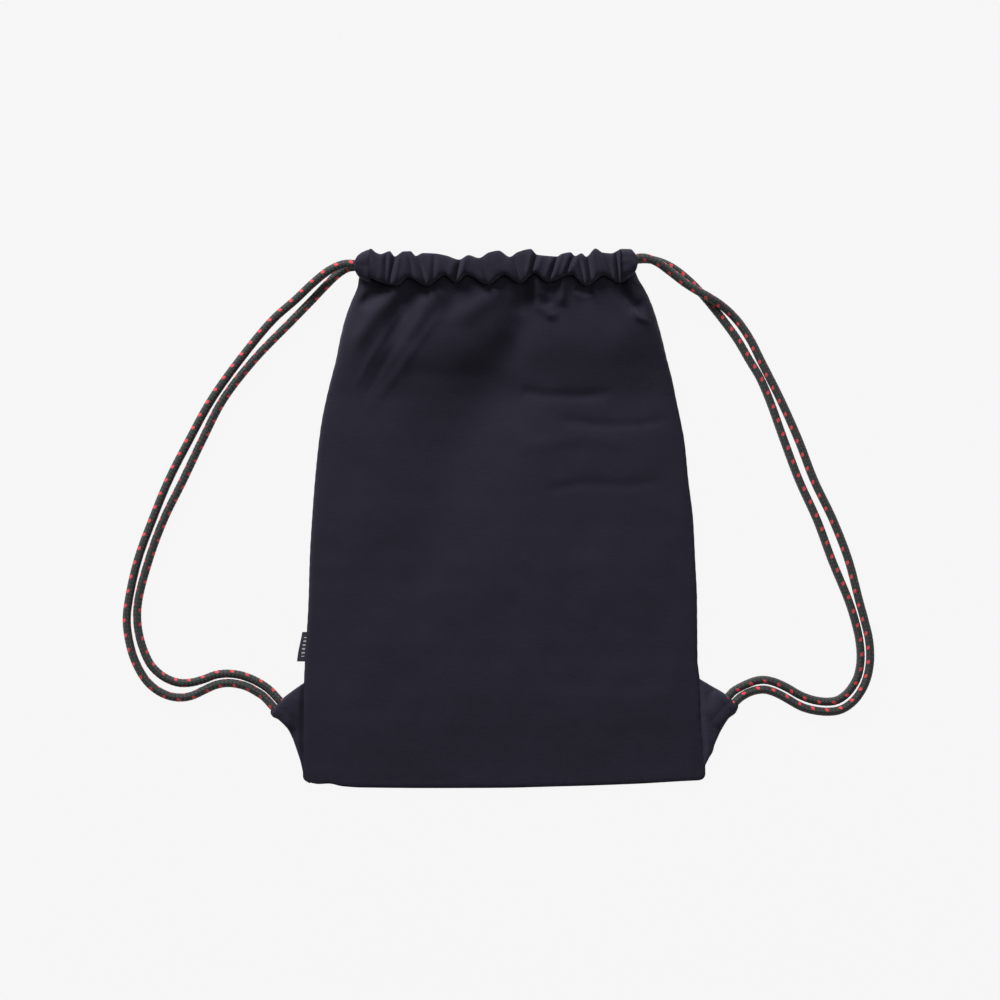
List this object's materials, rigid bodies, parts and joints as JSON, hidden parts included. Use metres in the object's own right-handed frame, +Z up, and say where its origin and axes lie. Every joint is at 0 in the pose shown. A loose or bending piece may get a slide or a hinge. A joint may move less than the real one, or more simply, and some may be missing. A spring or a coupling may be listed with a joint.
{
  "type": "drawstring backpack",
  "caption": "Soft cloth sack lying flat, its mouth half gathered by doubled braided drawcords that double as shoulder straps and end in folded corner tabs.",
  "frame": {"origin": "on the floor under the middle of the bag, without its cords", "axes": "the bag lies on its back panel: +Z up out of the front panel, +Y from the bottom seam to the mouth, +X to the bag's right as seen from above"},
  "size_m": [0.6562, 0.4712, 0.026],
  "materials": {
    "navy_cloth": "matte twill",
    "navy_thread": "spun thread",
    "label_tape": "woven tape",
    "charcoal_cord": "braided cord with red flecks"
  },
  "bodies": {
    "bag": {"front_panel": "navy_cloth", "back_panel": "navy_cloth", "left_side_seam": "navy_cloth", "right_side_seam": "navy_cloth", "bottom_seam": "navy_cloth", "back_casing": "navy_cloth", "front_casing": "navy_cloth", "front_casing_stitch": "navy_thread", "back_casing_stitch": "navy_thread", "left_corner_tab": "navy_cloth", "right_corner_tab": "navy_cloth", "left_tab_stitch": "navy_thread", "right_tab_stitch": "navy_thread"},
    "left_mouth_end": {"left_mouth_hem": "navy_cloth"},
    "right_mouth_end": {"right_mouth_hem": "navy_cloth"},
    "left_cord": {"left_cord_front_strand": "charcoal_cord", "left_cord_back_strand": "charcoal_cord", "left_cord_bight": "charcoal_cord"},
    "right_cord": {"right_cord_front_strand": "charcoal_cord", "right_cord_back_strand": "charcoal_cord", "right_cord_bight": "charcoal_cord"},
    "label": {"side_label": "label_tape"}
  },
  "joints": [
    {"name": "left_cord_pull", "type": "slide", "parent": "bag", "child": "left_cord", "axis": [-1, 0, 0], "range_m": [0, 0.04], "deforming": ["left_cord_front_strand", "left_cord_back_strand"]},
    {"name": "right_mouth_gather", "type": "slide", "parent": "bag", "child": "right_mouth_end", "axis": [-1, 0, 0], "range_m": [0, 0.04], "deforming": ["front_casing", "back_casing"]},
    {"name": "right_cord_pull", "type": "slide", "parent": "bag", "child": "right_cord", "axis": [1, 0, 0], "range_m": [0, 0.04], "deforming": ["right_cord_front_strand", "right_cord_back_strand"]},
    {"name": "left_mouth_gather", "type": "slide", "parent": "bag", "child": "left_mouth_end", "axis": [1, 0, 0], "range_m": [0, 0.04], "deforming": ["front_casing", "back_casing"]},
    {"name": "side_label_flip", "type": "hinge", "parent": "bag", "child": "label", "pos_m": [-0.1724, -0.1125, 0.00275], "axis": [0, 1, 0], "range_deg": [0, 75], "deforming": ["side_label"]}
  ],
  "couplings": [
    {"joint": "right_mouth_gather", "follows": "left_cord_pull", "ratio": 1},
    {"joint": "left_mouth_gather", "follows": "right_cord_pull", "ratio": 1}
  ]
}
